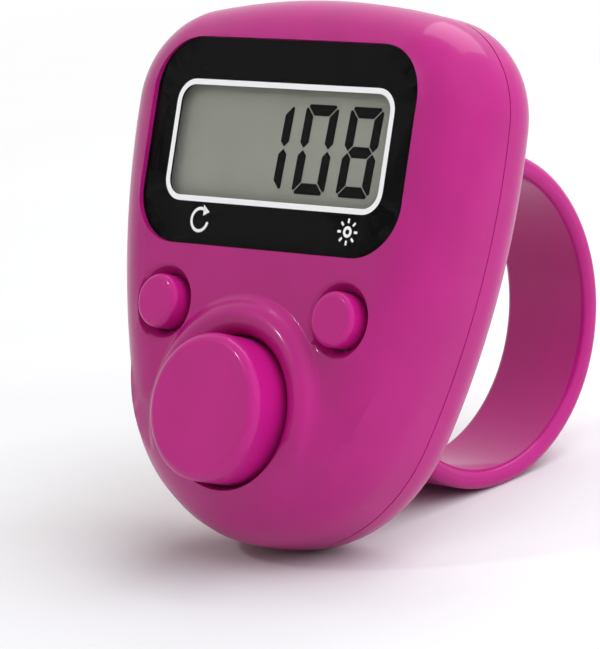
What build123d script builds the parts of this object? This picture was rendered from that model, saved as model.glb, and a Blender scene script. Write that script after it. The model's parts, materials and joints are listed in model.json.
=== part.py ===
from build123d import *
import os
from math import acos, atan, atan2, cos, degrees, hypot, radians, sin, sqrt, tan

# Finger-ring tally counter, drawn upright in the head's own frame: X across the face, Y into the
# body, Z up the face, origin at the centre of the display print. One placement at the end leans
# the finished counter back until its chin and its finger ring stand on the floor.

# Display
FRAME_W = 18.36            # printed frame round the digits, centre line
FRAME_H = 7.46
FRAME_LINE = 0.36
FRAME_CORNER_R = 1.3
BORDER_SIDE = 2.12         # black border between the frame and the edge of the window
BORDER_TOP = 2.92
WINDOW_CORNER_R = 3.5
LENS_T = 0.35
LENS_RECESS = 0.05
LENS_GAP = 0.05
MASK_T = 0.1
LEDGE_T = 0.5
LEDGE_W = 0.9              # ledge that carries the lens, left standing round the opening
GLASS_T = 0.4              # each of the two sheets
GLASS_MARGIN = 0.85        # glass beyond the printed frame
POLARIZER_T = 0.12
POLARIZER_INSET = 0.4
CONTACT_LEDGE = 0.9        # bare strip of the front sheet that the elastomer touches
GUIDE_T = 1.1
PAD_T = 0.46
LED_T = 0.7
LED_W = 1.6
LED_H = 1.2
HOLDER_WALL = 0.4
FIT_GAP = 0.08             # clearance between pieces that locate each other

# Head casing
RIM_SIDE = 3.53            # casing beyond the window
RIM_TOP = 3.12
WIDEST_Z = 1.9
CROWN_R = 55.0
SHOULDER_R = 6.5
CHIN_R = 11.95
CHIN_BELOW_BUTTON = 8.08
FACE_EDGE_R = 4.1
BACK_EDGE_R = 3.0
EDGE_FLATS = 8             # narrow flats that follow each of these roundings
BACK_SLOPE = 0.05          # the head grows this much deeper per mm towards the chin
WALL = 1.3
FACE_WALL = 1.2
BACK_WALL = 1.2
INNER_BEVEL = 2.0          # flat inside the wall that follows the rounded edge of the face
GROOVE_W = 0.16            # fine shadow line round the parting plane
GROOVE_DEPTH = 0.12
LIP_T = 0.5
LIP_H = 0.7
LIP_GAP = 0.08
PARTING_BACK = 0.41        # parting plane behind the circuit board

# Count button
COUNT_R = 4.62
COUNT_Z = -16.78
COUNT_PROUD = 3.0          # front of the button before the face
COUNT_EDGE_R = 0.65
COUNT_ROOF_T = 1.2
COUNT_WALL_T = 1.12
COUNT_TRAVEL = 0.6
COLLAR_PROUD = 0.9         # crest of the collar round the count button, before the face
COLLAR_MOUTH_R = 1.1       # rounding from the crest into the hole
COLLAR_FLATS = 5           # narrow flats that follow each rounding of the collar
COLLAR_CREST_W = 0.05      # flat left along the crest
COLLAR_STEEP = 55.0        # degrees, where the flank is steepest
COLLAR_RUNOUT = 16.0       # degrees, where the flank's foot leaves the face and runs out into the sides
CHIN_BLEND = 0.1           # collar inside the chin's outline where the two merge
BUTTON_GAP = 0.14
BUTTON_FLATS = 4           # narrow flats that follow the front edge of each button
FLANGE_T = 0.6
FLANGE_W = 0.75
STOP_GAP = 0.05            # button flange to the inner face of the shell, at rest

# Reset and light buttons
SMALL_R = 1.73
SMALL_X = 7.58
SMALL_Z = -10.45
SMALL_PROUD = 0.7
SMALL_EDGE_R = 0.4
SMALL_TRAVEL = 0.4
SMALL_FLANGE_W = 0.45
SMALL_FLANGE_T = 0.4
WELL_W = 0.6               # dished mouth round each small button
WELL_DEPTH = 0.7

# Switches
COUNT_SWITCH_W = 4.5
COUNT_SWITCH_H = 2.3
COUNT_PLUNGER_R = 1.1
SMALL_SWITCH_W = 3.0
SMALL_SWITCH_H = 1.0
SMALL_PLUNGER_R = 0.7
PLUNGER_GAP = 0.12
PLUNGER_FLOOR = 0.3

# Circuit board
BOARD_T = 0.8
BOARD_INSET = 0.35
BLOB_R = 3.2
BLOB_TOP_R = 2.0           # flat left where the resin settles
BLOB_H = 1.0
BLOB_Z = -14.0
CHIP_L = 1.6
CHIP_W = 0.8
CHIP_H = 0.45
CHIP_X = 4.2
CHIP_PITCH = 1.7

# Coin cell and its contacts
CELL_R = 3.4
CELL_T = 2.15
CELL_Z = 2.1
CELL_GAP = 0.15
CELL_STEP = 0.25           # height and inset of the negative face
CONTACT_T = 0.15
CONTACT_H = 0.4            # board to cell, taken up by the sprung tongue
CONTACT_W = 2.0
CLIP_L = 3.0
CLIP_FOOT = 1.6
CRADLE_WALL = 0.8
CRADLE_H = 1.3
CRADLE_GAP = 0.3           # between the clip and the open ends of the cradle

# Battery door
SEAT_T = 0.6
DOOR_T = 0.91
DOOR_GAP = 0.1
DOOR_RIM = 0.95            # door beyond the cell opening
DOOR_CORNER_R = 1.6
DOOR_SCREW_OUT = 1.7       # screw axis beyond the cell opening
DOOR_SCREW_RIM = 0.3       # door beyond the screw's head
DOOR_SCREW_L = 1.6
DOOR_BOSS_H = 0.9

# Screws
SCREW_R = 0.5
SCREW_HEAD_R = 1.05
SCREW_HEAD_H = 0.7
SCREW_SINK = 0.5           # cover screw heads below the back
SCREW_HOLE_GAP = 0.15      # round a screw where it passes freely
PILOT_GAP = 0.05           # round a screw where its thread bites
BOSS_WALL = 0.6
PILOT_FLOOR = 0.8
PILOT_END = 0.5            # bottom of the pilot hole beyond the tip of the screw
BOSS_RISE = 2.6            # screw bosses above the count button's axis
BOSS_GAP = 0.53            # screw bosses clear of the count button's flange

# Finger ring
RING_BORE_R = 9.75
RING_T = 1.3
RING_W = 7.2
RING_BEVEL = 0.35
RING_Z = -8.32
RING_SINK = 1.18           # depth of the pocket in the back that takes the foot
RING_CLEAR = 0.05          # bore behind the back of the head
RING_GAP = 0.08
PEG_R = 1.0
PEG_DROP = 2.6             # pegs above and below the ring's axis
PEG_ROOT = 0.6             # pegs run on into the band
RING_FLOOR_T = 1.2
RING_SCREW_R = 0.35
RING_SCREW_HEAD_R = 1.3

# The stack from the face to the back, along the middle of the head
FACE_Y = -LENS_T - LENS_RECESS
INNER_Y = FACE_Y + FACE_WALL
LEDGE_Y = MASK_T
GLASS_Y = LEDGE_Y + LEDGE_T
GUIDE_Y = GLASS_Y + 2 * POLARIZER_T + 2 * GLASS_T
PAD_Y = GUIDE_Y + GUIDE_T
BOARD_Y = PAD_Y + PAD_T
BOARD_BACK_Y = BOARD_Y + BOARD_T
PARTING_Y = BOARD_BACK_Y + PARTING_BACK
CELL_Y = BOARD_BACK_Y + CONTACT_H
SEAT_FRONT_Y = CELL_Y + CELL_T + CELL_GAP
SEAT_Y = SEAT_FRONT_Y + SEAT_T
BACK_Y = SEAT_Y + DOOR_T

# Outline of the head
WINDOW_W = FRAME_W + 2 * BORDER_SIDE
WINDOW_H = FRAME_H + 2 * BORDER_TOP
HALF_W = WINDOW_W / 2 + RIM_SIDE
TOP_Z = WINDOW_H / 2 + RIM_TOP
CHIN_Z = COUNT_Z - CHIN_BELOW_BUTTON
HEAD_REACH = 4 * HALF_W    # longer than the head in any direction

# The parting plane and all that is moulded behind it follow the slope of the back
REAR_TILT = Pos(0, PARTING_Y, 0) * Rot(degrees(atan(BACK_SLOPE)), 0, 0) * Pos(0, -PARTING_Y, 0)


def bearing(start, end):
    return degrees(atan2(end[1] - start[1], end[0] - start[0]))


def meet(centre_a, reach_a, centre_b, reach_b):
    """The point to the right at two given distances from two centres."""
    dx = centre_b[0] - centre_a[0]
    dz = centre_b[1] - centre_a[1]
    span = hypot(dx, dz)
    along = (reach_a**2 - reach_b**2 + span**2) / (2 * span)
    off = sqrt(reach_a**2 - along**2)
    foot = (centre_a[0] + along * dx / span, centre_a[1] + along * dz / span)
    return max((foot[0] - side * off * dz / span, foot[1] + side * off * dx / span) for side in (1, -1))


CROWN_C = (0.0, TOP_Z - CROWN_R)
CHIN_C = (0.0, CHIN_Z + CHIN_R)
SIDE_DROP = WIDEST_Z - CHIN_C[1]
SIDE_R = (HALF_W**2 + SIDE_DROP**2 - CHIN_R**2) / (2 * (HALF_W - CHIN_R))
SIDE_C = (HALF_W - SIDE_R, WIDEST_Z)
SHOULDER_C = meet(CROWN_C, CROWN_R - SHOULDER_R, SIDE_C, SIDE_R - SHOULDER_R)


def back_at(z):
    """Depth of the sloping back at height z."""
    return PARTING_Y + (BACK_Y - PARTING_Y) * sqrt(1 + BACK_SLOPE**2) - BACK_SLOPE * z


def face_plane(y):
    return Plane(origin=(0, y, 0), x_dir=(1, 0, 0), z_dir=(0, -1, 0))


def prism(sketch, y_front, y_back):
    """A face-on sketch carried straight back between two depths."""
    return extrude(face_plane(y_front) * sketch, amount=y_back - y_front, dir=(0, 1, 0))


def rod(x, z, radius, y_front, y_back):
    return prism(Pos(x, z) * Circle(radius), y_front, y_back)


def block(x, z, width, height, y_front, y_back):
    return prism(Pos(x, z) * Rectangle(width, height), y_front, y_back)


def turned(profile, x, z):
    """A profile in radius and depth, turned about an axis that runs straight into the face."""
    return Pos(x, 0, z) * revolve(profile, Axis.Y)


def arc_points(centre, radius, start, sweep, flats):
    """Points along an arc, in degrees, for a turned profile made of narrow flats."""
    angles = [radians(start + sweep * n / flats) for n in range(flats + 1)]
    return [(centre[0] + radius * cos(a), centre[1] + radius * sin(a)) for a in angles]


def rolled_edge(body, end, radius):
    """Round the edge of a flat end (0 front, -1 back) with narrow flats that follow an arc."""
    reach = 0.0
    for n in range(EDGE_FLATS):
        start = radians(90 * n / EDGE_FLATS)
        lean = radians(90 * (n + 0.5) / EDGE_FLATS)
        inset = radius * (1 - cos(start))
        depth = radius * (1 - sin(start))
        run = hypot(reach - inset, depth)
        next_reach = inset + depth * tan(lean)
        flat = body.faces().sort_by(Axis.Y)[end]
        body = chamfer(flat.edges(), next_reach - reach, run, reference=flat)
        reach = next_reach
    return body


def space_behind(y):
    from_front = (Align.CENTER, Align.MIN, Align.CENTER)
    return Pos(0, y, 0) * Box(HEAD_REACH, HEAD_REACH, HEAD_REACH, align=from_front)


def head_outline(inset):
    """Crown, shoulders, sides and chin as tangent arcs, drawn in by an inset."""
    crown_end = bearing(CROWN_C, SHOULDER_C)
    side_start = bearing(SIDE_C, SHOULDER_C)
    side_end = bearing(SIDE_C, CHIN_C)
    edges = [
        CenterArc(CROWN_C, CROWN_R - inset, crown_end, 180 - 2 * crown_end),
        CenterArc(CHIN_C, CHIN_R - inset, 180 - side_end, 180 + 2 * side_end),
    ]
    for hand in (1, -1):
        shoulder = (hand * SHOULDER_C[0], SHOULDER_C[1])
        side = (hand * SIDE_C[0], SIDE_C[1])
        shoulder_from = side_start if hand > 0 else 180 - crown_end
        side_from = side_end if hand > 0 else 180 - side_start
        edges.append(CenterArc(shoulder, SHOULDER_R - inset, shoulder_from, crown_end - side_start))
        edges.append(CenterArc(side, SIDE_R - inset, side_from, side_start - side_end))
    return make_face(edges)


def wall_band(outer_inset, inner_inset, y_front, y_back):
    return prism(head_outline(outer_inset) - head_outline(inner_inset), y_front, y_back)


def collar():
    """Rounded collar round the count button; towards the chin it ends on the chin's rounded edge."""
    crest_y = FACE_Y - COLLAR_PROUD
    crest_r = COUNT_R + BUTTON_GAP + COLLAR_MOUTH_R + COLLAR_CREST_W
    steep = radians(COLLAR_STEEP)
    runout = radians(COLLAR_RUNOUT)
    round_r = COLLAR_PROUD / (1 + cos(runout) - 2 * cos(steep))
    valley_r = crest_r + 2 * round_r * sin(steep)
    valley_y = crest_y + 2 * round_r * (1 - cos(steep))
    face_r = valley_r - round_r * sin(runout)
    foot_y = FACE_Y + FACE_EDGE_R
    foot_r = face_r + (foot_y - FACE_Y) / tan(runout)
    convex = arc_points((crest_r, crest_y + round_r), round_r, -90, COLLAR_STEEP, COLLAR_FLATS)
    hollow_c = (valley_r, valley_y - round_r)
    concave = arc_points(hollow_c, round_r, 90 + COLLAR_STEEP, COLLAR_RUNOUT - COLLAR_STEEP, COLLAR_FLATS)
    edge = [(0, foot_y), (0, crest_y), *convex, *concave[1:], (foot_r, foot_y)]
    flank = make_face(Polyline(*edge, close=True))
    edge_r = foot_y - crest_y
    disc_r = CHIN_R - CHIN_BLEND
    rim = arc_points((disc_r - edge_r, foot_y), edge_r, -90, 90, EDGE_FLATS)
    disc = make_face(Polyline((0, foot_y), (0, crest_y), *rim, close=True))
    return turned(flank, 0, COUNT_Z) & turned(disc, 0, CHIN_C[1])


def collar_hole():
    """Cutter for the count button's hole: a straight bore that rounds out to the collar's crest."""
    crest_y = FACE_Y - COLLAR_PROUD
    bore_r = COUNT_R + BUTTON_GAP
    lip_r = bore_r + COLLAR_MOUTH_R
    start_y = crest_y + COLLAR_MOUTH_R
    lip = arc_points((lip_r, start_y), COLLAR_MOUTH_R, -90, -90, COLLAR_FLATS)
    cut = make_face(Polyline((0, BOARD_Y), (0, crest_y), *lip, (bore_r, BOARD_Y), close=True))
    return turned(cut, 0, COUNT_Z)


def small_hole(x):
    """Cutter for a small button's hole: a straight bore with a dished mouth."""
    bore_r = SMALL_R + BUTTON_GAP
    lip_r = bore_r + WELL_W
    clear_y = FACE_Y - WELL_W
    mouth = [(0, clear_y), (lip_r, clear_y), (lip_r, FACE_Y), (bore_r, FACE_Y + WELL_DEPTH)]
    return turned(make_face(Polyline(*mouth, (bore_r, BOARD_Y), (0, BOARD_Y), close=True)), x, SMALL_Z)


COUNT_BORE_R = COUNT_R - COUNT_WALL_T
COUNT_FLANGE_R = COUNT_R + FLANGE_W
SMALL_FLANGE_R = SMALL_R + SMALL_FLANGE_W
BOSS_R = SCREW_R + PILOT_GAP + BOSS_WALL
BOSS_X = COUNT_FLANGE_R + BOSS_R + BOSS_GAP
BOSSES = [(BOSS_X, COUNT_Z + BOSS_RISE), (-BOSS_X, COUNT_Z + BOSS_RISE)]
SMALL_PLACES = {"reset": -SMALL_X, "light": SMALL_X}
GLASS_W = FRAME_W + 2 * GLASS_MARGIN
GLASS_H = FRAME_H + 2 * GLASS_MARGIN
HOLDER_W = GLASS_W + 2 * (FIT_GAP + HOLDER_WALL)
HOLDER_H = GLASS_H + 2 * (FIT_GAP + HOLDER_WALL)
LIT_W = GLASS_W - 2 * POLARIZER_INSET
LIT_H = GLASS_H - CONTACT_LEDGE - POLARIZER_INSET
LIT_Z = (CONTACT_LEDGE - POLARIZER_INSET) / 2
GUIDE_W = LIT_W - 2 * LED_T
POST_R = SCREW_HEAD_R + FIT_GAP + BOSS_WALL
OPENING_R = CELL_R + CELL_GAP
DOOR_SCREW_X = OPENING_R + DOOR_SCREW_OUT
RING_FOOT_Y = back_at(RING_Z) - RING_SINK
RING_Y = back_at(RING_Z) + RING_CLEAR + RING_BORE_R
RING_R = RING_BORE_R + RING_T
RING_FLOOR_Y = RING_FOOT_Y - RING_FLOOR_T
PEGS = [RING_Z - PEG_DROP, RING_Z + PEG_DROP]


def front_body():
    """Pebble-shaped front of the head, down to the parting plane."""
    body = prism(head_outline(0), FACE_Y, BACK_Y)
    return rolled_edge(body, 0, FACE_EDGE_R) - REAR_TILT * space_behind(PARTING_Y)


def front_shell():
    body = front_body()
    hollow = prism(head_outline(WALL), INNER_Y, BACK_Y)
    hollow = chamfer(hollow.faces().sort_by(Axis.Y)[0].edges(), INNER_BEVEL)
    shell = body + collar() - hollow
    for x, z in BOSSES:
        shell += rod(x, z, BOSS_R, GLASS_Y, BOARD_Y) & body
    window = RectangleRounded(WINDOW_W, WINDOW_H, WINDOW_CORNER_R)
    opening_r = WINDOW_CORNER_R - LEDGE_W
    opening = RectangleRounded(WINDOW_W - 2 * LEDGE_W, GLASS_H - 2 * POLARIZER_INSET, opening_r)
    shell -= prism(window, FACE_Y - LENS_T, LEDGE_Y)
    shell -= prism(opening, FACE_Y, GLASS_Y)
    shell -= block(0, 0, HOLDER_W + 2 * FIT_GAP, HOLDER_H + 2 * FIT_GAP, GLASS_Y, BOARD_Y)
    shell -= collar_hole()
    shell -= rod(0, COUNT_Z, COUNT_FLANGE_R + 2 * BUTTON_GAP, INNER_Y, BOARD_Y)
    for x in SMALL_PLACES.values():
        shell -= small_hole(x)
        shell -= rod(x, SMALL_Z, SMALL_FLANGE_R + 2 * BUTTON_GAP, INNER_Y, BOARD_Y)
    for x, z in BOSSES:
        shell -= rod(x, z, SCREW_R + PILOT_GAP, GLASS_Y + PILOT_FLOOR, BOARD_Y)
    rebate = wall_band(WALL - LIP_T - LIP_GAP, WALL + LIP_GAP, PARTING_Y - LIP_H - LIP_GAP, BACK_Y)
    return shell - REAR_TILT * rebate


def door_outline(grow):
    left = -OPENING_R - DOOR_RIM
    right = DOOR_SCREW_X + SCREW_HEAD_R + DOOR_SCREW_RIM
    width = right - left + 2 * grow
    height = 2 * (OPENING_R + DOOR_RIM + grow)
    return Pos((left + right) / 2, CELL_Z) * RectangleRounded(width, height, DOOR_CORNER_R + grow)


def ring_pocket():
    drum = Cylinder(RING_R + RING_GAP, RING_W + 2 * RING_GAP, rotation=(0, 90, 0))
    return (Pos(0, RING_Y, RING_Z) * drum) & space_behind(RING_FOOT_Y)


def rear_body():
    """Rear of the head behind the parting plane, with its rounded back edge."""
    return rolled_edge(prism(head_outline(0), PARTING_Y, BACK_Y), -1, BACK_EDGE_R)


def rear_cover():
    body = rear_body()
    lip_y = PARTING_Y - LIP_H
    cover = body + prism(head_outline(WALL - LIP_T), lip_y, PARTING_Y)
    cover -= prism(head_outline(WALL), lip_y, BACK_Y - BACK_WALL)
    cover -= wall_band(-GROOVE_DEPTH, GROOVE_DEPTH, PARTING_Y, PARTING_Y + GROOVE_W)
    cover += prism(door_outline(BOSS_WALL), SEAT_FRONT_Y, BACK_Y) & body
    cover += rod(DOOR_SCREW_X, CELL_Z, BOSS_R, SEAT_FRONT_Y - DOOR_BOSS_H, SEAT_Y)
    cover = REAR_TILT * cover
    posts = block(0, RING_Z, RING_W + 2 * WALL, 2 * (PEG_DROP + 2 * PEG_R), RING_FLOOR_Y, BACK_Y)
    for x, z in BOSSES:
        posts += rod(x, z, POST_R, PARTING_Y, back_at(z))
    cover += posts & REAR_TILT * body
    for x, z in BOSSES:
        cover += rod(x, z, BOSS_R, BOARD_BACK_Y, back_at(z) - BACK_WALL)
        cover -= rod(x, z, SCREW_R + SCREW_HOLE_GAP, BOARD_BACK_Y, back_at(z))
        cover -= rod(x, z, SCREW_HEAD_R + FIT_GAP, screw_seat(z), BACK_Y + HALF_W)
    cover -= REAR_TILT * prism(door_outline(DOOR_GAP), SEAT_Y, BACK_Y + HALF_W)
    cover -= REAR_TILT * rod(0, CELL_Z, OPENING_R, SEAT_FRONT_Y, SEAT_Y)
    cover -= REAR_TILT * rod(DOOR_SCREW_X, CELL_Z, SCREW_R + PILOT_GAP, SEAT_FRONT_Y - DOOR_BOSS_H, SEAT_Y)
    cover -= ring_pocket()
    for z in PEGS:
        cover -= rod(0, z, PEG_R + FIT_GAP, RING_FLOOR_Y, RING_FOOT_Y + PEG_ROOT)
    return cover


def screw_seat(z):
    """Depth of the face under the head of a cover screw."""
    return back_at(z) - SCREW_SINK - SCREW_HEAD_H


def screw(x, z, y_tip, y_seat):
    """Pan-head screw driven from behind."""
    return rod(x, z, SCREW_R, y_tip, y_seat) + rod(x, z, SCREW_HEAD_R, y_seat, y_seat + SCREW_HEAD_H)


def cover_screws():
    y_tip = GLASS_Y + PILOT_FLOOR + PILOT_END
    return [screw(x, z, y_tip, screw_seat(z)) for x, z in BOSSES]


def lens_outline():
    return RectangleRounded(WINDOW_W - 2 * LENS_GAP, WINDOW_H - 2 * LENS_GAP, WINDOW_CORNER_R - LENS_GAP)


def display_lens():
    return prism(lens_outline(), -LENS_T, 0)


def display_mask():
    """Black print behind the lens, clear inside the white frame line."""
    clear = RectangleRounded(FRAME_W - FRAME_LINE, FRAME_H - FRAME_LINE, FRAME_CORNER_R - FRAME_LINE / 2)
    return prism(lens_outline() - clear, 0, MASK_T)


def front_polarizer():
    return block(0, 0, LIT_W, GLASS_H - 2 * POLARIZER_INSET, GLASS_Y, GLASS_Y + POLARIZER_T)


def lcd_glass():
    """Two bonded sheets: the rear one is shorter, so the front one keeps a bare contact strip."""
    y = GLASS_Y + POLARIZER_T
    front = block(0, 0, GLASS_W, GLASS_H, y, y + GLASS_T)
    rear_h = GLASS_H - CONTACT_LEDGE
    return front + block(0, CONTACT_LEDGE / 2, GLASS_W, rear_h, y + GLASS_T, y + 2 * GLASS_T)


def rear_polarizer():
    return block(0, LIT_Z, LIT_W, LIT_H, GUIDE_Y - POLARIZER_T, GUIDE_Y)


def backlight_guide():
    return block(0, LIT_Z, GUIDE_W, LIT_H, GUIDE_Y, PAD_Y)


def reflector_pad():
    return block(0, LIT_Z, GUIDE_W, LIT_H, PAD_Y, BOARD_Y)


def backlight_leds():
    x = GUIDE_W / 2 + LED_T / 2 + FIT_GAP
    return [block(hand * x, LIT_Z, LED_T, LED_W, BOARD_Y - LED_H, BOARD_Y) for hand in (1, -1)]


def elastomer_strip():
    z = (CONTACT_LEDGE - GLASS_H) / 2
    y = GLASS_Y + POLARIZER_T + GLASS_T
    return block(0, z, GUIDE_W, CONTACT_LEDGE - 2 * FIT_GAP, y, BOARD_Y)


def display_holder():
    outer = Rectangle(HOLDER_W, HOLDER_H)
    inner = Rectangle(GLASS_W + 2 * FIT_GAP, GLASS_H + 2 * FIT_GAP)
    return prism(outer - inner, GLASS_Y, BOARD_Y)


def circuit_board():
    board = prism(head_outline(WALL + BOARD_INSET), BOARD_Y, BOARD_BACK_Y)
    for x, z in BOSSES:
        board -= rod(x, z, SCREW_R + SCREW_HOLE_GAP, BOARD_Y, BOARD_BACK_Y)
    return board


def controller_blob():
    """Drop of black resin over the bonded chip."""
    top = BOARD_BACK_Y + BLOB_H
    flank = [(BLOB_TOP_R, top), (BLOB_R, BOARD_BACK_Y)]
    return turned(make_face(Polyline((0, top), *flank, (0, BOARD_BACK_Y), close=True)), 0, BLOB_Z)


def chip_row(x, height):
    y = BOARD_BACK_Y
    return [block(x, BLOB_Z + step * CHIP_PITCH, CHIP_L, CHIP_W, y, y + height) for step in (-1, 0, 1)]


def button_cap(x, z, radius, edge_r, y_face, y_back):
    """Round key with a rolled front edge."""
    edge = arc_points((radius - edge_r, y_face + edge_r), edge_r, -90, 90, BUTTON_FLATS)
    profile = make_face(Polyline((0, y_back), (0, y_face), *edge, (radius, y_back), close=True))
    return turned(profile, x, z)


def count_button():
    """Hollow cap with a retaining flange and a post that bears on the switch."""
    face_y = FACE_Y - COUNT_PROUD
    flange_y = INNER_Y + STOP_GAP
    cap = button_cap(0, COUNT_Z, COUNT_R, COUNT_EDGE_R, face_y, flange_y + FLANGE_T)
    cap += rod(0, COUNT_Z, COUNT_FLANGE_R, flange_y, flange_y + FLANGE_T)
    cap -= rod(0, COUNT_Z, COUNT_BORE_R, face_y + COUNT_ROOF_T, flange_y + FLANGE_T)
    post_end = BOARD_Y - COUNT_SWITCH_H - COUNT_TRAVEL - PLUNGER_GAP
    return cap + rod(0, COUNT_Z, COUNT_PLUNGER_R, face_y + COUNT_ROOF_T, post_end)


def small_button(x):
    """Solid cap with a retaining flange and a short post."""
    flange_y = INNER_Y + STOP_GAP
    cap = button_cap(x, SMALL_Z, SMALL_R, SMALL_EDGE_R, FACE_Y - SMALL_PROUD, flange_y + SMALL_FLANGE_T)
    cap += rod(x, SMALL_Z, SMALL_FLANGE_R, flange_y, flange_y + SMALL_FLANGE_T)
    post_end = BOARD_Y - SMALL_SWITCH_H - SMALL_TRAVEL - PLUNGER_GAP
    return cap + rod(x, SMALL_Z, SMALL_PLUNGER_R, flange_y, post_end)


def switch_body(x, z, width, height, plunger_r):
    """Tact switch case, bored for its plunger."""
    case = block(x, z, width, width, BOARD_Y - height, BOARD_Y)
    return case - rod(x, z, plunger_r + PLUNGER_GAP, BOARD_Y - height, BOARD_Y - PLUNGER_FLOOR)


def switch_plunger(x, z, height, travel, plunger_r):
    top = BOARD_Y - height - travel - PLUNGER_GAP
    return rod(x, z, plunger_r, top, BOARD_Y - PLUNGER_FLOOR - travel - PLUNGER_GAP)


def coin_cell():
    """Flat can with the smaller negative face towards the board."""
    can = rod(0, CELL_Z, CELL_R, CELL_Y + CELL_STEP, CELL_Y + CELL_T)
    return can + rod(0, CELL_Z, CELL_R - 2 * CELL_STEP, CELL_Y, CELL_Y + CELL_STEP)


def negative_contact():
    """Strip on the board with a tongue that arches up to the cell."""
    rise = CONTACT_H - CONTACT_T
    foot = CELL_R - CONTACT_W / 2
    arch = [(-foot, 0), (-foot / 2, 0), (-foot / 4, rise), (foot / 4, rise), (foot / 2, 0), (foot, 0)]
    back = [(x, y + CONTACT_T) for x, y in reversed(arch)]
    strip = extrude(make_face(Polyline(*arch, *back, close=True)), amount=CONTACT_W / 2, both=True)
    return Pos(0, BOARD_BACK_Y, CELL_Z) * strip


def positive_contact():
    """Angle clip that stands on the board and bears on the side of the cell."""
    x = -CELL_R - FIT_GAP - CONTACT_T / 2
    leaf = block(x, CELL_Z, CONTACT_T, CLIP_L, BOARD_BACK_Y, CELL_Y + CELL_T)
    return leaf + block(x - CLIP_FOOT / 2, CELL_Z, CLIP_FOOT, CLIP_L, BOARD_BACK_Y, BOARD_BACK_Y + CONTACT_T)


def cell_cradle():
    """Open ring on the board that keeps the cell from shifting."""
    inner = CELL_R + FIT_GAP
    band = Pos(0, CELL_Z) * (Circle(inner + CRADLE_WALL) - Circle(inner))
    gap = Pos(-CELL_R, CELL_Z) * Rectangle(2 * CELL_R, CLIP_L + 2 * CRADLE_GAP)
    return prism(band - gap, BOARD_BACK_Y, BOARD_BACK_Y + CRADLE_H)


def battery_door():
    """Plate flush with the sloping back, with a counterbore for its screw."""
    plate = prism(door_outline(0), SEAT_Y, BACK_Y) & rear_body()
    plate -= rod(DOOR_SCREW_X, CELL_Z, SCREW_R + SCREW_HOLE_GAP, SEAT_Y, BACK_Y)
    plate -= rod(DOOR_SCREW_X, CELL_Z, SCREW_HEAD_R + FIT_GAP, BACK_Y - SCREW_HEAD_H, BACK_Y)
    return REAR_TILT * plate


def battery_door_screw():
    y_seat = BACK_Y - SCREW_HEAD_H
    return REAR_TILT * screw(DOOR_SCREW_X, CELL_Z, y_seat - DOOR_SCREW_L, y_seat)


def finger_ring():
    """Closed band with its foot let into the back and two pegs through the wall."""
    section = chamfer(Rectangle(RING_W, RING_T).vertices(), RING_BEVEL)
    band = revolve(Pos(0, RING_BORE_R + RING_T / 2) * section, Axis.X)
    ring = (Pos(0, RING_Y, RING_Z) * band) & space_behind(RING_FOOT_Y)
    for z in PEGS:
        ring += rod(0, z, PEG_R, RING_FLOOR_Y, RING_FOOT_Y + PEG_ROOT)
        ring -= rod(0, z, RING_SCREW_R + PILOT_GAP, RING_FLOOR_Y, RING_FOOT_Y + PEG_ROOT)
    return ring


def ring_screws():
    """Screws driven from inside the cover into the ring's pegs."""
    made = []
    for z in PEGS:
        head = rod(0, z, RING_SCREW_HEAD_R, RING_FLOOR_Y - SCREW_HEAD_H, RING_FLOOR_Y)
        made.append(head + rod(0, z, RING_SCREW_R, RING_FLOOR_Y, RING_FOOT_Y))
    return made


def lean_angle():
    """Lean at which the floor touches both the chin's rear edge and the finger ring."""
    chin = (REAR_TILT * Pos(0, BACK_Y - BACK_EDGE_R, CHIN_Z + BACK_EDGE_R)).position
    dy = RING_Y - chin.Y
    dz = RING_Z - chin.Z
    return acos((RING_R - BACK_EDGE_R) / hypot(dy, dz)) - atan2(dy, dz)


pieces = {
    "front_shell": front_shell(),
    "rear_cover": rear_cover(),
    "cover_screws": cover_screws(),
    "display_lens": display_lens(),
    "display_mask": display_mask(),
    "front_polarizer": front_polarizer(),
    "lcd_glass": lcd_glass(),
    "rear_polarizer": rear_polarizer(),
    "backlight_guide": backlight_guide(),
    "reflector_pad": reflector_pad(),
    "backlight_leds": backlight_leds(),
    "elastomer_strip": elastomer_strip(),
    "display_holder": display_holder(),
    "circuit_board": circuit_board(),
    "controller_blob": controller_blob(),
    "chip_resistors": chip_row(-CHIP_X, CHIP_H),
    "chip_capacitors": chip_row(CHIP_X, CHIP_W),
    "count_button": count_button(),
    "count_switch": switch_body(0, COUNT_Z, COUNT_SWITCH_W, COUNT_SWITCH_H, COUNT_PLUNGER_R),
    "count_plunger": switch_plunger(0, COUNT_Z, COUNT_SWITCH_H, COUNT_TRAVEL, COUNT_PLUNGER_R),
    "coin_cell": coin_cell(),
    "negative_contact": negative_contact(),
    "positive_contact": positive_contact(),
    "cell_cradle": cell_cradle(),
    "battery_door": battery_door(),
    "battery_door_screw": battery_door_screw(),
    "finger_ring": finger_ring(),
    "ring_screws": ring_screws(),
}
for name, x in SMALL_PLACES.items():
    pieces[f"{name}_button"] = small_button(x)
    pieces[f"{name}_switch"] = switch_body(x, SMALL_Z, SMALL_SWITCH_W, SMALL_SWITCH_H, SMALL_PLUNGER_R)
    pieces[f"{name}_plunger"] = switch_plunger(x, SMALL_Z, SMALL_SWITCH_H, SMALL_TRAVEL, SMALL_PLUNGER_R)

lean = Rot(-degrees(lean_angle()), 0, 0)
leaned = {}
for name, piece in pieces.items():
    leaned[name] = lean * (Compound(piece) if isinstance(piece, list) else piece)
boxes = [piece.bounding_box() for piece in leaned.values()]
front_y = min(box.min.Y for box in boxes)
rear_y = max(box.max.Y for box in boxes)
floor_z = min(box.min.Z for box in boxes)
stand = Pos(0, -(front_y + rear_y) / 2, -floor_z)
os.makedirs("parts", exist_ok=True)
for name, piece in leaned.items():
    export_step(stand * piece, f"parts/{name}.step")
print("lean", round(degrees(lean_angle()), 3), "origin of the display at", tuple(stand.position))
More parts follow.
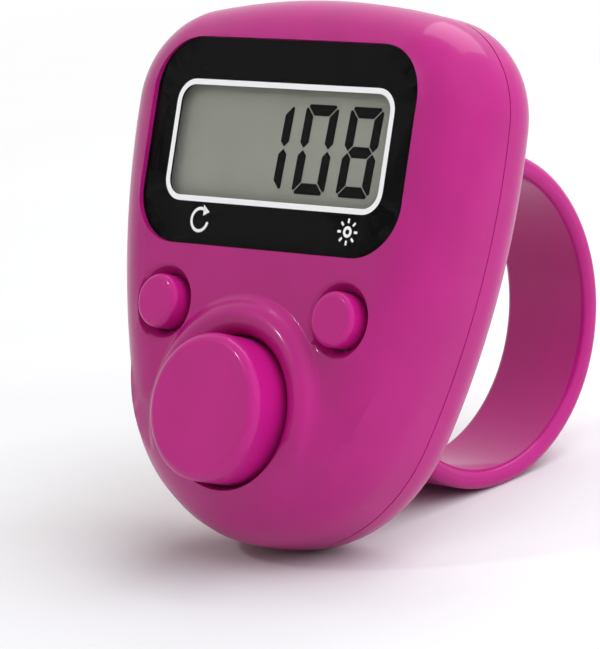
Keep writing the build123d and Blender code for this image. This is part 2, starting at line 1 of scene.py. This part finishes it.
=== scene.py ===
import json
from math import cos, pi, radians, sin

import bmesh
import bpy
from mathutils import Euler, Matrix, Vector


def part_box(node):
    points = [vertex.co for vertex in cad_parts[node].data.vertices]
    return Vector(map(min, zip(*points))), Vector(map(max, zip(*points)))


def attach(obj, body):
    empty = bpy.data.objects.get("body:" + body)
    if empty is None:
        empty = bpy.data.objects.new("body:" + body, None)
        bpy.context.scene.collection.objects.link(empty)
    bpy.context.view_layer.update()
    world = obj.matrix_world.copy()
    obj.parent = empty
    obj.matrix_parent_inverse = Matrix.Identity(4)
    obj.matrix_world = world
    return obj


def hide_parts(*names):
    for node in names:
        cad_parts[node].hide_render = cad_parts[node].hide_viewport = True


# Looks of the finger-ring tally counter. Sizes are in millimetres in the head's own frame:
# X across the face, Y into the body, Z up the face, origin at the centre of the display print.
# Places and sizes of the floor, the lamps and the camera's clipping are in metres.

MM = 0.001

# Camera, turned about the point of the head that it aims at
CAMERA_AIM = (1.897, 2.389, -10.816)
CAMERA_DISTANCE = 243.77
CAMERA_AZIMUTH = 43.398      # degrees to the right of straight on
CAMERA_ELEVATION = -2.292    # degrees, measured against the leaning head
CAMERA_ROLL = 8.5
CAMERA_LENS = 217.44
CAMERA_SENSOR = 36
CAMERA_CLIP = (0.01, 10)

# Display
LENS_T = 0.35
PRINT_DEPTH = -0.02          # prints lie just inside the back of the lens
FRAME_W = 18.36
FRAME_H = 7.46
FRAME_LINE = 0.36
FRAME_CORNER_R = 1.3
LCD_DEPTH = 0.58             # just before the front polarizer
DIGIT_H = 5.65
DIGIT_W = 2.78
DIGIT_PITCH = 3.76
DIGIT_STROKE = 0.7
DIGIT_GAP = 0.06
DIGIT_CUT = 0.3              # corners of a digit, cut off
DIGIT_SLANT = 0.055
LAST_DIGIT_X = 6.46
DIGIT_Z = -0.06
SHOWN_NUMBER = "108"

# Symbols printed below the frame
RESET_SIGN = (-5.8, -5.05)
LIGHT_SIGN = (6.95, -5.02)
SIGN_R = 0.72
SIGN_LINE = 0.2
ARROW_START = 60             # degrees, where the head of the turning arrow sits
ARROW_END = 350
ARROW_HEAD = ((0.42, -0.1), (-0.16, 0.34), (-0.1, -0.36))
RAY_COUNT = 8
RAY_NEAR = 0.75              # ends of a ray, as shares of the sign's radius
RAY_FAR = 1.15
RAY_LINE = 0.16

# Moulded pieces whose narrow flats are shaded as one rounding, with the angle kept as a crease
CREASES = {
    "front_shell": 30,
    "rear_cover": 30,
    "battery_door": 30,
    "count_button": 30,
    "reset_button": 30,
    "light_button": 30,
    "finger_ring": 50,
}
LIP_CREASE = 55              # degrees, for edges of the level face, such as a dished mouth
SCREW_CREASE = 30
LEVEL = 0.9999               # share of a face's normal that points straight out of the front
WELD = 0.0005                # corners this close are one
FLAT_ANGLE = 0.4             # degrees, triangles this near to level are one face

# Ring, whose bevels are rolled into round corners
RING_BEVEL_TURN = 45         # degrees between a bevel and its neighbours
RING_TURN_SPAN = 6
RING_ROLL = 0.2
RING_ROLL_STEPS = 3

# Shadow line in the rear cover, round the parting plane
GROOVE_W = 0.16
GROOVE_MATCH = 0.001         # how near a face's width is to the groove's
GROOVE_FILL = 0.08
UPRIGHT = 0.01               # most that a wall's normal points along the rear axis
BACK_SLOPE = 0.05            # slope of the back and of all that is moulded behind the parting plane

# Cross recess in a screw head
CROSS_L = 1.3
CROSS_W = 0.3
CROSS_DEPTH = 0.35

# Finishes
NOISE_LOW = 0.3              # most of a noise texture lies between these two values
NOISE_HIGH = 0.7
MOTTLE_DETAIL = 2
ROUGH_VARY = 0.1
COAT_ROUGH = 0.07
PANE_IOR = 1.05              # faint, as what lies right under the lens mirrors for both
PANE_ROUGH = (0.03, 0.06)
PANE_SMEAR = 500
PANE_DETAIL = 3

# Floor and surround
FLOOR_SIZE = 3
FLOOR_NEAR = 0.06            # from the counter, where the floor begins to fade to white
FLOOR_FAR = 0.25
FLOOR_SEEN = (0.74, 0.76)
FLOOR_PLAIN = 0.8
FLOOR_MOTTLE = 60
SKY_COLOUR = (1.0, 0.97, 0.93)
SKY_STRENGTH = 0.37
LAMP_AIM = Vector((0, 0, 0.015))

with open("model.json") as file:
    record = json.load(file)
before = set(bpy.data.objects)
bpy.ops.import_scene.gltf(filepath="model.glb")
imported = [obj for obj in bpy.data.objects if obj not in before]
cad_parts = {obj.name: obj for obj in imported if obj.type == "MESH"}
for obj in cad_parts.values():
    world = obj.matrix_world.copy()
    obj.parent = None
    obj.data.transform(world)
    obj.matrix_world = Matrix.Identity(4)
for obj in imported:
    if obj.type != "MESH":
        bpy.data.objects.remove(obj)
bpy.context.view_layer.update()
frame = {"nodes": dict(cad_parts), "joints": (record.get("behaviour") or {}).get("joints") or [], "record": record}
press = Vector(frame["joints"][0]["axis"]).normalized()
across = Vector((1, 0, 0))
lens_low, lens_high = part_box("display_lens")
display_origin = (lens_low + lens_high) / 2 + press * LENS_T / 2 * MM
head = Matrix((across, press, across.cross(press))).transposed().to_4x4()
head.translation = display_origin
REAR_AXIS = (head.to_3x3() @ Vector((0, 1, BACK_SLOPE))).normalized()


def in_head(x, y, z):
    """A point given in mm in the head's frame, in metres in the shared frame."""
    return head @ (Vector((x, y, z)) * MM)


def principled(name):
    """New material with its nodes, its links and its shader."""
    material = bpy.data.materials.new(name)
    material.use_nodes = True
    nodes = material.node_tree.nodes
    return material, nodes, material.node_tree.links, nodes["Principled BSDF"]


def noise(nodes, links, scale, detail):
    """Fine mottle in the shared frame, so it stays put on the piece."""
    place = nodes.new("ShaderNodeTexCoord")
    texture = nodes.new("ShaderNodeTexNoise")
    texture.inputs["Scale"].default_value = scale
    texture.inputs["Detail"].default_value = detail
    links.new(place.outputs["Object"], texture.inputs["Vector"])
    return texture.outputs["Fac"]


def ramp(nodes, links, source, low, high):
    """Colours low to high across the middle of a texture's range."""
    node = nodes.new("ShaderNodeValToRGB")
    node.color_ramp.elements[0].position = NOISE_LOW
    node.color_ramp.elements[1].position = NOISE_HIGH
    node.color_ramp.elements[0].color = (*low, 1)
    node.color_ramp.elements[1].color = (*high, 1)
    links.new(source, node.inputs["Fac"])
    return node.outputs["Color"]


def spread(nodes, links, source, low, high):
    """A texture's range carried over to another range of values."""
    node = nodes.new("ShaderNodeMapRange")
    node.inputs["From Min"].default_value = NOISE_LOW
    node.inputs["From Max"].default_value = NOISE_HIGH
    node.inputs["To Min"].default_value = low
    node.inputs["To Max"].default_value = high
    links.new(source, node.inputs["Value"])
    return node.outputs["Result"]


def mottled(name, colour, rough, vary=0.05, scale=320, metallic=0.0, shine=0.35, gloss=0.0):
    """Moulded or metal surface: colour and roughness vary a little; gloss adds a polished skin."""
    material, nodes, links, shader = principled(name)
    low = [c * (1 - vary) for c in colour]
    high = [c * (1 + vary) for c in colour]
    smooth = rough * (1 - ROUGH_VARY)
    dull = rough * (1 + ROUGH_VARY)
    source = noise(nodes, links, scale, MOTTLE_DETAIL)
    links.new(ramp(nodes, links, source, low, high), shader.inputs["Base Color"])
    links.new(spread(nodes, links, source, smooth, dull), shader.inputs["Roughness"])
    shader.inputs["Metallic"].default_value = metallic
    shader.inputs["Specular IOR Level"].default_value = shine
    shader.inputs["Coat Weight"].default_value = gloss
    shader.inputs["Coat Roughness"].default_value = COAT_ROUGH
    return material


def clear_pane(name, tint):
    """Thin clear pane: see-through, with a surface reflection on its outer side."""
    material, nodes, links, shader = principled(name)
    nodes.remove(shader)
    through = nodes.new("ShaderNodeBsdfTransparent")
    through.inputs["Color"].default_value = (*tint, 1)
    gloss = nodes.new("ShaderNodeBsdfGlossy")
    source = noise(nodes, links, PANE_SMEAR, PANE_DETAIL)
    links.new(spread(nodes, links, source, *PANE_ROUGH), gloss.inputs["Roughness"])
    fresnel = nodes.new("ShaderNodeFresnel")
    fresnel.inputs["IOR"].default_value = PANE_IOR
    side = nodes.new("ShaderNodeNewGeometry")
    outer = nodes.new("ShaderNodeMath")
    outer.operation = "SUBTRACT"
    outer.inputs[0].default_value = 1.0
    links.new(side.outputs["Backfacing"], outer.inputs[1])
    share = nodes.new("ShaderNodeMath")
    share.operation = "MULTIPLY"
    links.new(fresnel.outputs["Fac"], share.inputs[0])
    links.new(outer.outputs["Value"], share.inputs[1])
    mix = nodes.new("ShaderNodeMixShader")
    links.new(share.outputs["Value"], mix.inputs["Fac"])
    links.new(through.outputs["BSDF"], mix.inputs[1])
    links.new(gloss.outputs["BSDF"], mix.inputs[2])
    links.new(mix.outputs["Shader"], nodes["Material Output"].inputs["Surface"])
    return material


SHELL_MAGENTA = (0.41, 0.009, 0.178)
KEY_MAGENTA = (0.47, 0.008, 0.2)
POLISHED = {"rough": 0.34, "shine": 0.15, "gloss": 0.3}
UNDER_LENS = {"rough": 0.05, "shine": 0.06}    # prints and film carry the mirror of the lens too
LOOKS = {
    "shell_plastic": mottled("magenta_shell", SHELL_MAGENTA, **POLISHED),
    "key_plastic": mottled("magenta_key", KEY_MAGENTA, **POLISHED),
    "screw_steel": mottled("zinc_screw", (0.5, 0.5, 0.51), 0.35, scale=2500, metallic=1.0),
    "lens_clear": clear_pane("clear_lens", (0.99, 0.99, 0.99)),
    "mask_print": mottled("black_print", (0.003, 0.003, 0.003), vary=0.2, **UNDER_LENS),
    "polarizer_film": mottled("lcd_grey", (0.31, 0.317, 0.274), vary=0.04, scale=250, **UNDER_LENS),
    "lcd_glass": mottled("lcd_cell", (0.2, 0.22, 0.18), 0.2),
    "guide_clear": mottled("light_guide", (0.75, 0.78, 0.75), 0.2),
    "pad_white": mottled("white_foam", (0.75, 0.75, 0.74), 0.8),
    "led_resin": mottled("lamp_resin", (0.75, 0.7, 0.35), 0.25),
    "elastomer": mottled("contact_rubber", (0.12, 0.12, 0.12), 0.7),
    "holder_plastic": mottled("black_holder", (0.03, 0.03, 0.03), 0.45),
    "board_laminate": mottled("green_board", (0.02, 0.17, 0.06), 0.4, vary=0.15),
    "blob_resin": mottled("black_resin", (0.012, 0.012, 0.012), 0.2),
    "chip_ceramic": mottled("chip_ceramic", (0.3, 0.22, 0.13), 0.5),
    "switch_plastic": mottled("switch_case", (0.03, 0.03, 0.03), 0.5),
    "plunger_plastic": mottled("nylon_plunger", (0.55, 0.5, 0.42), 0.5),
    "cell_steel": mottled("cell_can", (0.6, 0.6, 0.6), 0.25, scale=2500, metallic=1.0),
    "contact_metal": mottled("contact_strip", (0.7, 0.52, 0.22), 0.3, scale=2500, metallic=1.0),
}
WHITE_INK = mottled("white_ink", (0.95, 0.95, 0.95), vary=0.02, **UNDER_LENS)
DARK_SEGMENT = mottled("lcd_segment", (0.005, 0.005, 0.005), vary=0.1, **UNDER_LENS)
SLOTS = {part["node"]: part["material_slot"] for part in frame["record"]["subparts"]}


def dress_nodes():
    """Gives each CAD node the look of its material slot."""
    for name, node in frame["nodes"].items():
        node.data.materials.clear()
        node.data.materials.append(LOOKS[SLOTS[name]])


def stand_in(node, name, mesh):
    """New piece that rides with a CAD node's body and stands for that node."""
    piece = bpy.data.objects.new(name, mesh)
    bpy.context.scene.collection.objects.link(piece)
    bodies = frame["record"]["behaviour"]["bodies"]
    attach(piece, next(body for body, members in bodies.items() if node in members))
    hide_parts(node)
    return piece


def round_corners(shape):
    """Rolls the edges of the ring's bevels into round corners."""
    turn = radians(RING_BEVEL_TURN)
    span = radians(RING_TURN_SPAN)
    bmesh.ops.bevel(
        shape,
        geom=[edge for edge in shape.edges if abs(edge.calc_face_angle(0) - turn) < span],
        offset=RING_ROLL * MM,
        segments=RING_ROLL_STEPS,
        affect="EDGES",
        profile=0.5,
        clamp_overlap=True,
    )


def fill_groove(shape):
    """Raises the floor of the shadow line round the parting plane, so that it reads as a fine line."""
    lift = {}
    for face in shape.faces:
        reach = [vert.co.dot(REAR_AXIS) for vert in face.verts]
        width = max(reach) - min(reach)
        upright = abs(face.normal.dot(REAR_AXIS)) < UPRIGHT
        if upright and abs(width - GROOVE_W * MM) < GROOVE_MATCH * MM:
            for vert in face.verts:
                lift[vert] = lift.get(vert, Vector()) + face.normal
    for vert, outward in lift.items():
        vert.co += outward.normalized() * GROOVE_FILL * MM


def moulded(name, crease):
    """Copy of a CAD piece in its place, with smooth normals across angles under the crease."""
    node = frame["nodes"][name]
    mesh = node.data.copy()
    shape = bmesh.new()
    shape.from_mesh(mesh)
    bmesh.ops.remove_doubles(shape, verts=shape.verts, dist=WELD * MM)
    bmesh.ops.dissolve_limit(
        shape, angle_limit=radians(FLAT_ANGLE), verts=shape.verts, edges=shape.edges
    )
    if name == "finger_ring":
        round_corners(shape)
    if name == "rear_cover":
        fill_groove(shape)
    for face in shape.faces:
        face.smooth = True
    for edge in shape.edges:
        level = any(face.normal.dot(press) < -LEVEL for face in edge.link_faces)
        edge.smooth = edge.calc_face_angle(pi) < radians(LIP_CREASE if level else crease)
    shape.to_mesh(mesh)
    shape.free()
    mesh.attributes.remove(mesh.attributes["custom_normal"])
    piece = stand_in(name, name + "_moulded", mesh)
    weighted = piece.modifiers.new("level_faces", "WEIGHTED_NORMAL")
    weighted.keep_sharp = True


def cross_cutter(places, outward):
    """Cross-shaped plugs, one sunk into each place, as one mesh."""
    side = outward.cross(across)
    half = CROSS_W / 2
    reach = CROSS_L / 2
    arm = [(half, half), (half, reach), (-half, reach)]
    outline = []
    for quarter in range(4):
        turn = Matrix.Rotation(quarter * pi / 2, 2)
        outline += [turn @ Vector(point) for point in arm]
    points = []
    faces = []
    for place in places:
        first = len(points)
        count = len(outline)
        for depth in (-CROSS_DEPTH, CROSS_DEPTH):
            points += [place + (across * x + side * z + outward * depth) * MM for x, z in outline]
        faces += [range(first, first + count), range(first + count, first + 2 * count)]
        for n in range(count):
            here = first + n
            after = first + (n + 1) % count
            faces.append((here, after, after + count, here + count))
    mesh = bpy.data.meshes.new("cross_cutter")
    mesh.from_pydata(points, [], faces)
    shape = bmesh.new()
    shape.from_mesh(mesh)
    bmesh.ops.recalc_face_normals(shape, faces=shape.faces)
    shape.to_mesh(mesh)
    shape.free()
    return mesh


def crossed_heads(name, outward):
    """Copy of the screws in their place, with a cross recess in each head."""
    mesh = frame["nodes"][name].data.copy()
    shape = bmesh.new()
    shape.from_mesh(mesh)
    bmesh.ops.remove_doubles(shape, verts=shape.verts, dist=WELD * MM)
    far = max(vert.co.dot(outward) for vert in shape.verts)
    rims = {}                # outermost corners of the heads, left and right
    for vert in shape.verts:
        if far - vert.co.dot(outward) < WELD * MM:
            rims.setdefault(vert.co.x > 0, []).append(vert.co.copy())
    shape.to_mesh(mesh)
    shape.free()
    mesh.attributes.remove(mesh.attributes["custom_normal"])
    places = [sum(rim, Vector()) / len(rim) for rim in rims.values()]
    cutter = bpy.data.objects.new("cross_cutter", cross_cutter(places, outward))
    bpy.context.scene.collection.objects.link(cutter)
    piece = stand_in(name, name + "_crossed", mesh)
    cut = piece.modifiers.new("cross", "BOOLEAN")
    cut.object = cutter
    depsgraph = bpy.context.evaluated_depsgraph_get()
    piece.data = bpy.data.meshes.new_from_object(piece.evaluated_get(depsgraph))
    piece.modifiers.clear()
    bpy.data.objects.remove(cutter)
    piece.data.shade_smooth()
    piece.data.set_sharp_from_angle(angle=radians(SCREW_CREASE))


def flat_piece(name, shapes, depth, material):
    """Thin print made of polygons given across and up the face, at one depth."""
    points = []
    faces = []
    for shape in shapes:
        faces.append(range(len(points), len(points) + len(shape)))
        points += [in_head(x, depth, z) for x, z in shape]
    mesh = bpy.data.meshes.new(name)
    mesh.from_pydata(points, [], faces)
    piece = bpy.data.objects.new(name, mesh)
    bpy.context.scene.collection.objects.link(piece)
    mesh.materials.append(material)
    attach(piece, "case")
    return piece


def rounded_rectangle(width, height, radius, steps=8):
    """Points of a rectangle with round corners, once round."""
    points = []
    for quarter, (side, up) in enumerate([(1, 1), (-1, 1), (-1, -1), (1, -1)]):
        for step in range(steps + 1):
            angle = (quarter + step / steps) * pi / 2
            x = side * (width / 2 - radius) + radius * cos(angle)
            z = up * (height / 2 - radius) + radius * sin(angle)
            points.append((x, z))
    return points


def band_between(outer, inner):
    """Closed band of quads between two outlines with as many points each."""
    count = len(outer)
    return [[outer[n], outer[(n + 1) % count], inner[(n + 1) % count], inner[n]] for n in range(count)]


def arc_band(centre, radius, line, start, end, steps=20):
    """Quads of a line of given width along an arc, in degrees."""
    quads = []
    for step in range(steps):
        corners = []
        for turn, reach in ((step, 0.5), (step + 1, 0.5), (step + 1, -0.5), (step, -0.5)):
            angle = radians(start + (end - start) * turn / steps)
            far = radius + reach * line
            corners.append((centre[0] + far * cos(angle), centre[1] + far * sin(angle)))
        quads.append(corners)
    return quads


def ray(centre, angle, near, far, line):
    """Short straight stroke that points away from a centre."""
    along = Vector((cos(radians(angle)), sin(radians(angle))))
    aside = Vector((-along.y, along.x)) * line / 2
    middle = Vector(centre)
    near_end = middle + along * near
    far_end = middle + along * far
    return [near_end + aside, near_end - aside, far_end - aside, far_end + aside]


def frame_line():
    """White line printed round the digits."""
    outer = rounded_rectangle(FRAME_W + FRAME_LINE, FRAME_H + FRAME_LINE, FRAME_CORNER_R + FRAME_LINE / 2)
    inner = rounded_rectangle(FRAME_W - FRAME_LINE, FRAME_H - FRAME_LINE, FRAME_CORNER_R - FRAME_LINE / 2)
    flat_piece("frame_line", band_between(outer, inner), PRINT_DEPTH, WHITE_INK)


SEGMENTS = {"0": "abcdef", "1": "bc", "8": "abcdefg"}


def segment(letter):
    """One bar of a seven-segment digit, centred on the digit, with mitred corners."""
    half_w = DIGIT_W / 2
    half_h = DIGIT_H / 2
    inner_w = half_w - DIGIT_STROKE
    inner_h = half_h - DIGIT_STROKE
    middle = DIGIT_STROKE / 2
    if letter == "g":
        tip = half_w - middle - DIGIT_GAP
        flat = tip - middle
        return [(-tip, 0), (-flat, middle), (flat, middle), (tip, 0), (flat, -middle), (-flat, -middle)]
    up = 1 if letter in "abf" else -1
    cut_w = half_w - DIGIT_CUT / 2
    cut_h = half_h - DIGIT_CUT / 2
    if letter in "ad":
        end = [(half_w - DIGIT_CUT, half_h), (cut_w - DIGIT_GAP, cut_h), (inner_w - DIGIT_GAP, inner_h)]
        return [(x, up * z) for x, z in end] + [(-x, up * z) for x, z in reversed(end)]
    side = 1 if letter in "bc" else -1
    top = [(inner_w, inner_h - DIGIT_GAP), (cut_w, cut_h - DIGIT_GAP), (half_w, half_h - DIGIT_CUT)]
    foot = [(half_w, middle + DIGIT_GAP), (half_w - middle, DIGIT_GAP), (inner_w, middle + DIGIT_GAP)]
    return [(side * x, up * z) for x, z in top + foot]


def shown_number():
    """Dark bars of the digits on the display."""
    shapes = []
    for place, digit in enumerate(reversed(SHOWN_NUMBER)):
        x0 = LAST_DIGIT_X - place * DIGIT_PITCH
        for letter in SEGMENTS[digit]:
            shapes.append([(x0 + x + DIGIT_SLANT * z, DIGIT_Z + z) for x, z in segment(letter)])
    flat_piece("shown_number", shapes, LCD_DEPTH, DARK_SEGMENT)


def signs():
    """Turning arrow for reset and a lamp with rays for the light."""
    arrow = arc_band(RESET_SIGN, SIGN_R, SIGN_LINE, ARROW_START, ARROW_END)
    tip_x = RESET_SIGN[0] + SIGN_R * cos(radians(ARROW_START))
    tip_z = RESET_SIGN[1] + SIGN_R * sin(radians(ARROW_START))
    arrow.append([(tip_x + x, tip_z + z) for x, z in ARROW_HEAD])
    flat_piece("reset_sign", arrow, PRINT_DEPTH, WHITE_INK)
    lamp = arc_band(LIGHT_SIGN, SIGN_R / 2 - SIGN_LINE / 2, SIGN_LINE, 0, 360)
    for turn in range(RAY_COUNT):
        angle = turn * 360 / RAY_COUNT
        lamp.append(ray(LIGHT_SIGN, angle, SIGN_R * RAY_NEAR, SIGN_R * RAY_FAR, RAY_LINE))
    flat_piece("light_sign", lamp, PRINT_DEPTH, WHITE_INK)


def seen_rays(nodes, links):
    """One for rays that show a surface to the camera, straight or in a reflection or a pane."""
    path = nodes.new("ShaderNodeLightPath")
    total = path.outputs["Is Camera Ray"]
    for kind in ("Is Glossy Ray", "Is Transmission Ray"):
        either = nodes.new("ShaderNodeMath")
        either.operation = "MAXIMUM"
        links.new(total, either.inputs[0])
        links.new(path.outputs[kind], either.inputs[1])
        total = either.outputs["Value"]
    return total


def white_floor():
    """White sheet: shaded under the counter, plain white far off, and duller as a source of light."""
    material, nodes, links, shader = principled("white_sheet")
    nodes.remove(shader)
    source = noise(nodes, links, FLOOR_MOTTLE, MOTTLE_DETAIL)
    seen = nodes.new("ShaderNodeBsdfDiffuse")
    greys = [(level, level, level) for level in FLOOR_SEEN]
    links.new(ramp(nodes, links, source, *greys), seen.inputs["Color"])
    plain = nodes.new("ShaderNodeBsdfDiffuse")
    plain.inputs["Color"].default_value = (FLOOR_PLAIN, FLOOR_PLAIN, FLOOR_PLAIN, 1)
    place = nodes.new("ShaderNodeTexCoord")
    distance = nodes.new("ShaderNodeVectorMath")
    distance.operation = "LENGTH"
    links.new(place.outputs["Object"], distance.inputs[0])
    fade = nodes.new("ShaderNodeMapRange")
    fade.inputs["From Min"].default_value = FLOOR_NEAR
    fade.inputs["From Max"].default_value = FLOOR_FAR
    links.new(distance.outputs["Value"], fade.inputs["Value"])
    far_white = nodes.new("ShaderNodeEmission")
    sheet = nodes.new("ShaderNodeMixShader")
    links.new(fade.outputs["Result"], sheet.inputs["Fac"])
    links.new(seen.outputs["BSDF"], sheet.inputs[1])
    links.new(far_white.outputs["Emission"], sheet.inputs[2])
    mix = nodes.new("ShaderNodeMixShader")
    links.new(seen_rays(nodes, links), mix.inputs["Fac"])
    links.new(plain.outputs["BSDF"], mix.inputs[1])
    links.new(sheet.outputs["Shader"], mix.inputs[2])
    links.new(mix.outputs["Shader"], nodes["Material Output"].inputs["Surface"])
    bpy.ops.mesh.primitive_plane_add(size=FLOOR_SIZE, location=(0, 0, 0))
    floor = bpy.context.object
    floor.name = "floor"
    floor.data.materials.append(material)


def daylight():
    """Pale surround, white where it is seen."""
    world = bpy.data.worlds.new("surround")
    bpy.context.scene.world = world
    world.use_nodes = True
    nodes = world.node_tree.nodes
    links = world.node_tree.links
    plain = nodes["Background"]
    plain.inputs["Color"].default_value = (*SKY_COLOUR, 1)
    plain.inputs["Strength"].default_value = SKY_STRENGTH
    white = nodes.new("ShaderNodeBackground")
    white.inputs["Color"].default_value = (1, 1, 1, 1)
    mix = nodes.new("ShaderNodeMixShader")
    links.new(seen_rays(nodes, links), mix.inputs["Fac"])
    links.new(plain.outputs["Background"], mix.inputs[1])
    links.new(white.outputs["Background"], mix.inputs[2])
    links.new(mix.outputs["Shader"], nodes["World Output"].inputs["Surface"])


def softbox(name, place, size, power, colour=(1, 1, 1), mirrored=True):
    """Square area lamp aimed at the counter; one that isn't mirrored shows in no reflection."""
    lamp = bpy.data.lights.new(name, "AREA")
    lamp.size = size
    lamp.energy = power
    lamp.color = colour
    light = bpy.data.objects.new(name, lamp)
    bpy.context.scene.collection.objects.link(light)
    light.location = place
    light.visible_glossy = mirrored
    light.rotation_euler = (LAMP_AIM - Vector(place)).to_track_quat("-Z", "Y").to_euler()


def camera():
    """Long-lens camera on the front right of the head."""
    lens = bpy.data.cameras.new("camera")
    lens.lens = CAMERA_LENS
    lens.sensor_width = CAMERA_SENSOR
    lens.clip_start, lens.clip_end = CAMERA_CLIP
    eye = bpy.data.objects.new("camera", lens)
    bpy.context.scene.collection.objects.link(eye)
    level = Euler((radians(90 - CAMERA_ELEVATION), 0, radians(CAMERA_AZIMUTH))).to_matrix().to_4x4()
    roll = Matrix.Rotation(radians(CAMERA_ROLL), 4, "Z")
    back = Matrix.Translation((0, 0, CAMERA_DISTANCE * MM))
    turn = head.to_3x3().to_4x4()
    eye.matrix_world = Matrix.Translation(in_head(*CAMERA_AIM)) @ turn @ level @ roll @ back
    bpy.context.scene.camera = eye


dress_nodes()
for part_name, part_crease in CREASES.items():
    moulded(part_name, part_crease)
crossed_heads("cover_screws", press)
crossed_heads("battery_door_screw", REAR_AXIS)
frame_line()
shown_number()
signs()
white_floor()
daylight()
softbox("key", place=(0.43, 0.04, 0.46), size=0.8, power=5.5, colour=(0.9, 0.93, 1.0), mirrored=False)
softbox("top", place=(-0.05, 0.3, 0.45), size=0.4, power=1.4)
softbox("glint", place=(-0.25, -0.38, 0.44), size=0.045, power=0.5)
camera()
bpy.context.scene.view_settings.view_transform = "Standard"
